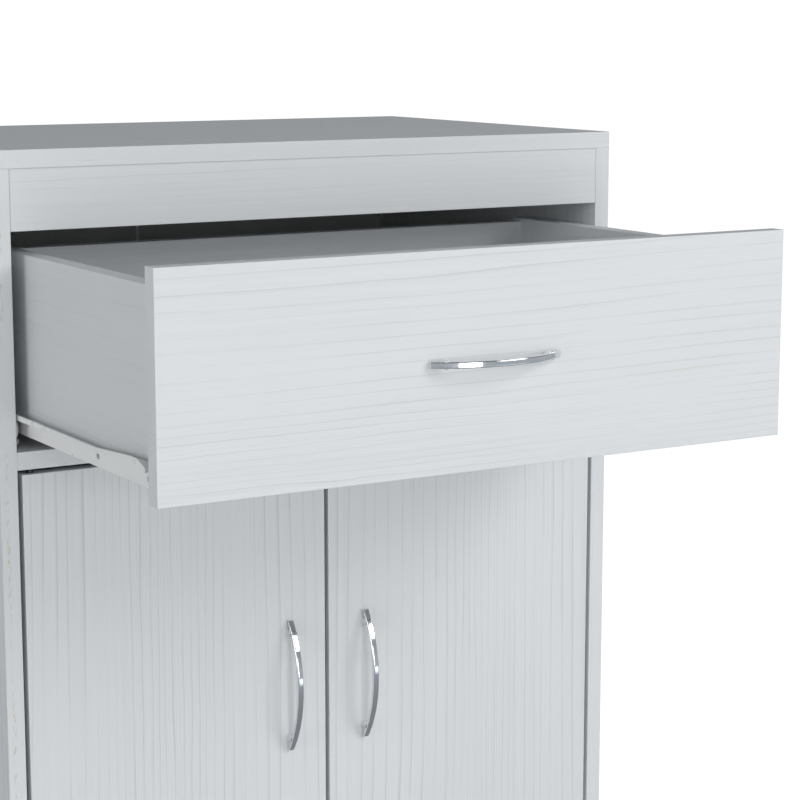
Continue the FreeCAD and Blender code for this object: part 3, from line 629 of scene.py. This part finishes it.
COATING_DARK = (0.84, 0.855, 0.86, 1)
COATING_PALE = (0.90, 0.91, 0.91, 1)
material, tree = new_tree("white_coated_steel")
place = add_node(tree, "TexCoord").outputs["Object"]
peel = noise(tree, place, across=520, along=520, detail=2.0)
cloud = noise(tree, place, across=25, along=25, detail=2.0)
colour = blended(tree, cloud, COATING_DARK, COATING_PALE)
gloss = spread(tree, cloud, width=0.14, start=0.22)
shaded(tree, Base_Color=colour, Roughness=gloss, Normal=bump(tree, peel, strength=0.10))
for name in ("left_cabinet_slide", "right_cabinet_slide", "left_drawer_slide", "right_drawer_slide"):
    finish_node(name, material)


# ---------------------------------------------------------------- rollers, bushes and feet
# Moulded nylon: the slides' rollers, the doors' pivot bushes, the floor glides and the
# case of the catch.

NYLON_DARK = (0.80, 0.80, 0.77, 1)
NYLON_PALE = (0.86, 0.86, 0.84, 1)
material, tree = new_tree("moulded_nylon")
place = add_node(tree, "TexCoord").outputs["Object"]
cloud = noise(tree, place, across=90, along=90, detail=2.0)
grit = noise(tree, place, across=1800, along=1800, detail=2.0)
colour = blended(tree, cloud, NYLON_DARK, NYLON_PALE)
gloss = spread(tree, grit, width=0.16, start=0.38)
shaded(
    tree,
    Base_Color=colour,
    Roughness=gloss,
    Subsurface_Weight=0.15,
    Subsurface_Radius=(1.0, 1.0, 0.9),
    Subsurface_Scale=0.001,
    Normal=bump(tree, grit, strength=0.10, depth=0.00005),
)
for name in (
    "left_cabinet_roller",
    "right_cabinet_roller",
    "left_drawer_roller",
    "right_drawer_roller",
    "pivot_bushes",
    "floor_glides",
    "catch_housing",
):
    finish_node(name, material)


# ---------------------------------------------------------------- screws
# Zinc-plated screws with cross recesses.  Countersunk ones hold the slides, the catch,
# the strikes and the drawer's back, and pan-headed ones come through into the handles.

SAME_PLACE = 1e-6
HEAD_SHARE = 0.15


def islands(mesh):
    """The corners of each separate solid in a mesh."""
    seen = set()
    found = []
    for start in mesh.verts:
        if start.index in seen:
            continue
        seen.add(start.index)
        island = [start]
        for vertex in island:
            for edge in vertex.link_edges:
                other = edge.other_vert(vertex)
                if other.index not in seen:
                    seen.add(other.index)
                    island.append(other)
        found.append([vertex.co.copy() for vertex in island])
    return found


def screws_in(name):
    """The head's centre, the way it faces, its radius and the length of each screw."""
    mesh = bmesh.new()
    mesh.from_mesh(nodes[name].data)
    bmesh.ops.remove_doubles(mesh, verts=mesh.verts, dist=SAME_PLACE)
    screws = []
    for places in islands(mesh):
        low = Vector([min(place[axis] for place in places) for axis in range(3)])
        high = Vector([max(place[axis] for place in places) for axis in range(3)])
        size = high - low
        along = max(range(3), key=lambda axis: size[axis])
        middle = (low + high) / 2
        across = [axis for axis in range(3) if axis != along]

        def reach(end):
            near = [p for p in places if abs(p[along] - end[along]) < size[along] * HEAD_SHARE]
            return max(abs(p[axis] - middle[axis]) for p in near for axis in across)

        sign = 1 if reach(high) > reach(low) else -1
        head = middle.copy()
        head[along] = (high if sign > 0 else low)[along]
        facing = Vector((0, 0, 0))
        facing[along] = sign
        screws.append((head, facing, max(reach(low), reach(high)), size[along]))
    mesh.free()
    return sorted(screws, key=lambda screw: tuple(screw[0]))


# a recess measured in radii of the head, and how much narrower its floor is
RECESS_SPAN = 1.25
RECESS_WIDTH = 0.24
RECESS_DEPTH = 1.0
FLOOR_TAPER = (0.45, 0.8, 1)
CUBE_FLOOR = (0, 0, -0.5)


def cross_recess(piece, radius):
    """Cuts a tapered cross into the head of a screw, whose top lies on Z = 0."""
    for turn in (0, 90):
        bpy.ops.object.select_all(action="DESELECT")
        bpy.ops.mesh.primitive_cube_add(size=1)
        cutter = bpy.context.object
        bpy.ops.object.mode_set(mode="EDIT")
        bpy.ops.mesh.select_all(action="DESELECT")
        bpy.ops.object.mode_set(mode="OBJECT")
        for face in cutter.data.polygons:
            face.select = face.center.z == CUBE_FLOOR[2]
        bpy.ops.object.mode_set(mode="EDIT")
        bpy.ops.transform.resize(value=FLOOR_TAPER, center_override=CUBE_FLOOR)
        bpy.ops.object.mode_set(mode="OBJECT")
        span = radius * RECESS_SPAN
        arm = Matrix.Diagonal((span, radius * RECESS_WIDTH, radius * RECESS_DEPTH, 1))
        move_mesh(cutter, Matrix.Rotation(math.radians(turn), 4, "Z") @ arm)
        cut = piece.modifiers.new("recess", "BOOLEAN")
        cut.operation = "DIFFERENCE"
        cut.object = cutter
        bpy.ops.object.select_all(action="DESELECT")
        bpy.context.view_layer.objects.active = piece
        bpy.ops.object.modifier_apply(modifier=cut.name)
        bpy.data.objects.remove(cutter)


# the screws' outlines, measured in radii of the head; a pan head's crown also in heights
PAN_SHANK = 0.46
PAN_CROWN = ((1.0, 0.45), (0.88, 0.15), (0.62, 0.0))
PAN_HEIGHT = 0.0022
SUNK_SHANK = 0.58
SUNK_TOP = 0.93
SUNK_RIM = 0.0002
POINT_WIDTH = 0.3
SCREW_SIDES = 28
SCREW_TURN = 37
SMOOTH_UP_TO = math.radians(30)


def model_screws(name, body, pan_head=0.0):
    """Cross-headed screws in place of a CAD node's plain ones, each turned its own way."""
    screws = screws_in(name)
    radius = max(screw[2] for screw in screws)
    length = max(screw[3] for screw in screws)
    if pan_head:
        shank = radius * PAN_SHANK
        profile = [(shank, -length), (shank, -pan_head), (radius, -pan_head)]
        profile += [(radius * out, -pan_head * down) for out, down in PAN_CROWN]
    else:
        shank = radius * SUNK_SHANK
        profile = [
            (shank * POINT_WIDTH, -length),
            (shank, -length + shank),
            (shank, -(radius - shank) - SUNK_RIM),
            (radius, -SUNK_RIM),
            (radius * SUNK_TOP, 0.0),
        ]
    template = lathe_blank(name + "_template", profile, SCREW_SIDES)
    cross_recess(template, radius)
    matrices = []
    for index, (head, facing, _, _) in enumerate(screws):
        aim = facing.to_track_quat("Z", "Y").to_matrix().to_4x4()
        spin = Matrix.Rotation(math.radians(SCREW_TURN * index), 4, "Z")
        matrices.append(Matrix.Translation(head) @ aim @ spin)
    piece = copies_joined(template, matrices, name + "_cross_headed")
    piece.data.materials.append(zinc_steel)
    bpy.ops.object.shade_smooth_by_angle(angle=SMOOTH_UP_TO)
    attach(piece, body)
    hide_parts(name)


model_screws("cabinet_slide_screws", "cabinet")
model_screws("catch_screws", "cabinet")
model_screws("drawer_slide_screws", "drawer")
model_screws("drawer_back_screws", "drawer")
model_screws("drawer_handle_screws", "drawer", pan_head=PAN_HEIGHT)
model_screws("left_door_handle_screws", "left_door", pan_head=PAN_HEIGHT)
model_screws("right_door_handle_screws", "right_door", pan_head=PAN_HEIGHT)
model_screws("left_strike_screw", "left_door")
model_screws("right_strike_screw", "right_door")


# ---------------------------------------------------------------- door pins, strikes and shelf pins
# Turned and blackened steel pins that the doors swing on, pressed steel strikes for the
# magnets, and the steel pins that carry the shelf.

dark_steel = dull_metal(
    "blackened_steel", dark=(0.05, 0.05, 0.055), pale=(0.10, 0.10, 0.105), roughness=0.50
)
for name in ("left_door_pins", "right_door_pins"):
    finish_node(name, dark_steel)
for name in ("left_strike_plate", "right_strike_plate", "shelf_pins"):
    finish_node(name, zinc_steel)


# ---------------------------------------------------------------- catch magnets
# Two blocks of sintered ferrite, dull and nearly black, pressed into the case of the
# catch.

FERRITE_DARK = (0.035, 0.035, 0.038, 1)
FERRITE_PALE = (0.085, 0.085, 0.09, 1)
material, tree = new_tree("sintered_ferrite")
place = add_node(tree, "TexCoord").outputs["Object"]
grit = noise(tree, place, across=1500, along=1500, detail=3.0)
colour = blended(tree, grit, FERRITE_DARK, FERRITE_PALE)
gloss = spread(tree, grit, width=0.2, start=0.50)
shaded(tree, Base_Color=colour, Roughness=gloss, Normal=bump(tree, grit, strength=0.3))
finish_node("catch_magnets", material)


# ---------------------------------------------------------------- knock-down fittings
# Die-cast cams with a screwdriver slot, the plated bolts that they draw in, and fluted
# beech dowels between them.

cast_zinc = dull_metal(
    "die_cast_zinc", dark=(0.40, 0.41, 0.42), pale=(0.56, 0.57, 0.58), roughness=0.48
)
for name in ("cam_locks", "drawer_cam_locks"):
    finish_node(name, cast_zinc)
for name in ("cam_bolts", "drawer_cam_bolts"):
    finish_node(name, zinc_steel)

BEECH_DARK = (0.48, 0.30, 0.16, 1)
BEECH_PALE = (0.68, 0.47, 0.28, 1)
material, tree = new_tree("beech")
place = add_node(tree, "TexCoord").outputs["Object"]
rays = noise(tree, place, across=1200, along=300, detail=3.0)
colour = blended(tree, rays, BEECH_DARK, BEECH_PALE)
gloss = spread(tree, rays, width=0.15, start=0.55)
shaded(tree, Base_Color=colour, Roughness=gloss, Normal=bump(tree, rays, strength=0.4))
for name in ("wood_dowels", "drawer_dowels"):
    finish_node(name, material)
